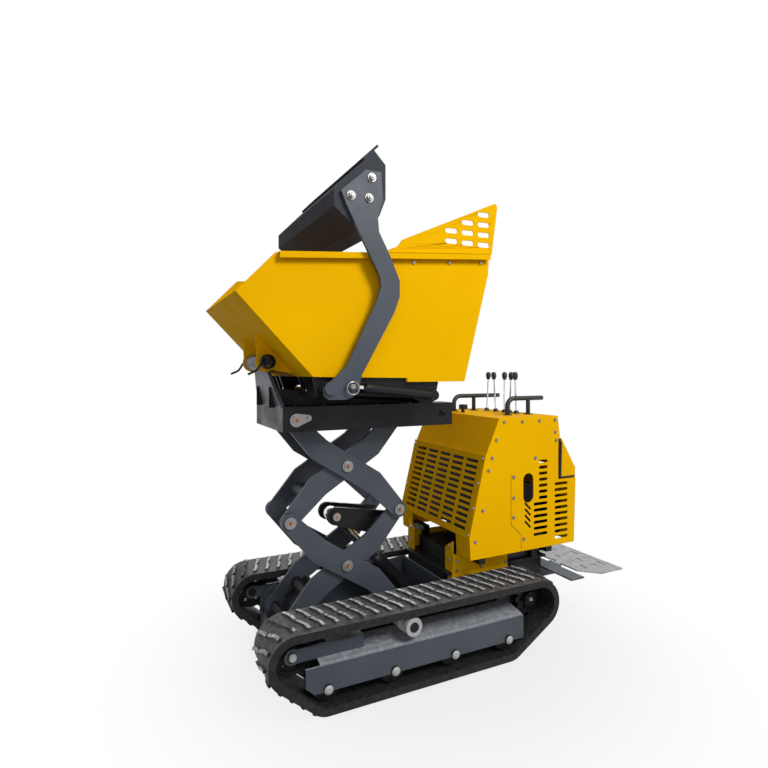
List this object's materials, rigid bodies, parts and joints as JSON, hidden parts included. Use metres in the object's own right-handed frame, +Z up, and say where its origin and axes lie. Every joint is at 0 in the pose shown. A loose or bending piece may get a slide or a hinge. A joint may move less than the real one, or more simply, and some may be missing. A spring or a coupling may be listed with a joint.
{
  "type": "tracked site dumper",
  "caption": "Tracked site dumper with a scissor-lifted tipping skip, a self-loading shovel on swing arms, a slotted engine hood with control levers and a folding operator step.",
  "frame": {"origin": "on the ground, below the middle of the machine's length and width", "axes": "+X is forward, the tipping end; +Y is the machine's left; +Z is up"},
  "size_m": [1.651, 0.742, 1.8595],
  "materials": {
    "yellow_paint": "satin powder coat, machine yellow",
    "slate_paint": "satin powder coat, dark slate grey",
    "black_paint": "semi-gloss black",
    "track_rubber": "moulded rubber",
    "engine_metal": "rough casting",
    "black_plastic": "fine grain",
    "zinc": "zinc plated",
    "rod_chrome": "ground and chromed",
    "galvanised": "galvanised sheet"
  },
  "bodies": {
    "chassis": {"chassis_frame": "slate_paint", "chassis_pan": "slate_paint", "track_left": "track_rubber", "track_right": "track_rubber", "track_frame_left": "slate_paint", "track_frame_right": "slate_paint", "sprocket_left": "black_paint", "sprocket_right": "black_paint", "idler_left": "black_paint", "idler_right": "black_paint", "rollers_left": "black_paint", "rollers_right": "black_paint", "engine_bed": "black_paint", "engine": "engine_metal", "hydraulic_tank": "black_paint", "valve_block": "black_paint", "hood_left": "yellow_paint", "hood_right": "yellow_paint", "hood_shell": "yellow_paint", "hood_grille": "yellow_paint", "skirts": "yellow_paint", "grab_rails": "black_plastic", "control_levers": "zinc", "console_knob": "black_plastic", "step_bracket": "slate_paint"},
    "rear_cover": {"rear_hatch": "yellow_paint"},
    "step": {"step_plate": "galvanised"},
    "lower_inner": {"lower_inner_arms": "slate_paint"},
    "lower_outer": {"lower_outer_arms": "slate_paint"},
    "upper_outer": {"upper_outer_arms": "slate_paint"},
    "upper_inner": {"upper_inner_arms": "slate_paint"},
    "deck": {"deck_frame": "slate_paint"},
    "skip": {"skip_tub": "yellow_paint", "skip_guard": "yellow_paint", "tip_frame": "slate_paint"},
    "shovel": {"shovel_arm_left": "slate_paint", "shovel_arm_right": "slate_paint", "shovel_bucket": "slate_paint"},
    "lift_barrel": {"lift_barrel": "black_paint"},
    "lift_rod": {"lift_rod": "rod_chrome"},
    "tip_barrels": {"tip_barrels": "black_paint"},
    "tip_rods": {"tip_rods": "rod_chrome"},
    "shovel_barrels": {"shovel_barrels": "black_paint"},
    "shovel_rods": {"shovel_rods": "rod_chrome"}
  },
  "joints": [
    {"name": "lift", "type": "hinge", "parent": "chassis", "child": "lower_inner", "pos_m": [0.5995, 0, 0.192], "axis": [0, 1, 0], "range_deg": [-30.8, 0]},
    {"name": "lower_cross", "type": "hinge", "parent": "lower_inner", "child": "lower_outer", "pos_m": [0.38252, 0, 0.37601], "axis": [0, 1, 0], "range_deg": [0, 61.62]},
    {"name": "middle_pivot", "type": "hinge", "parent": "lower_inner", "child": "upper_outer", "pos_m": [0.16554, 0, 0.56002], "axis": [0, 1, 0], "range_deg": [0, 61.62]},
    {"name": "upper_cross", "type": "hinge", "parent": "upper_outer", "child": "upper_inner", "pos_m": [0.38252, 0, 0.74404], "axis": [0, 1, 0], "range_deg": [-61.62, 0]},
    {"name": "deck_pivot", "type": "hinge", "parent": "upper_outer", "child": "deck", "pos_m": [0.5995, 0, 0.92805], "axis": [0, 1, 0], "range_deg": [-30.82, 0]},
    {"name": "lift_cylinder_swing", "type": "hinge", "parent": "chassis", "child": "lift_barrel", "pos_m": [-0.0035, 0, 0.112], "axis": [0, 1, 0], "range_deg": [-1.31, 0]},
    {"name": "lift_cylinder_stroke", "type": "slide", "parent": "lift_barrel", "child": "lift_rod", "axis": [0.684, 0, 0.7295], "range_m": [-0.21494, 0]},
    {"name": "tip", "type": "hinge", "parent": "deck", "child": "skip", "pos_m": [0.6845, 0, 1.12805], "axis": [0, 1, 0], "range_deg": [0, 80]},
    {"name": "tip_cylinders_swing", "type": "hinge", "parent": "deck", "child": "tip_barrels", "pos_m": [0.0845, 0, 1.00005], "axis": [0, 1, 0], "range_deg": [-25.46, 0]},
    {"name": "tip_cylinders_stroke", "type": "slide", "parent": "tip_barrels", "child": "tip_rods", "axis": [0.9985, 0, 0.0555], "range_m": [0, 0.08809]},
    {"name": "shovel", "type": "hinge", "parent": "skip", "child": "shovel", "pos_m": [0.5345, 0, 1.04005], "axis": [0, -1, 0], "range_deg": [-137, 0]},
    {"name": "shovel_cylinders_swing", "type": "hinge", "parent": "skip", "child": "shovel_barrels", "pos_m": [0.1345, 0, 1.01005], "axis": [0, 1, 0], "range_deg": [-3.1, 0]},
    {"name": "shovel_cylinders_stroke", "type": "slide", "parent": "shovel_barrels", "child": "shovel_rods", "axis": [0.994, 0, 0.1094], "range_m": [0, 0.13518]},
    {"name": "step_fold", "type": "hinge", "parent": "chassis", "child": "step", "pos_m": [-0.6195, 0, 0.228], "axis": [0, 1, 0], "range_deg": [0, 85]},
    {"name": "rear_cover", "type": "hinge", "parent": "chassis", "child": "rear_cover", "pos_m": [-0.6142, 0, 0.67766], "axis": [0, 1, 0], "range_deg": [-75, 0]}
  ],
  "couplings": [
    {"joint": "lower_cross", "follows": "lift", "ratio": -2},
    {"joint": "middle_pivot", "follows": "lift", "ratio": -2},
    {"joint": "upper_cross", "follows": "lift", "ratio": 2},
    {"joint": "deck_pivot", "follows": "lift", "ratio": 1},
    {"joint": "lift_cylinder_swing", "follows": "lift", "ratio": 0.041885},
    {"joint": "lift_cylinder_stroke", "follows": "lift", "m_per_rad": 0.39891},
    {"joint": "tip_cylinders_swing", "follows": "tip", "ratio": -0.318},
    {"joint": "tip_cylinders_stroke", "follows": "tip", "m_per_rad": 0.062733},
    {"joint": "shovel_cylinders_swing", "follows": "shovel", "ratio": 0.022455},
    {"joint": "shovel_cylinders_stroke", "follows": "shovel", "m_per_rad": -0.056324}
  ]
}
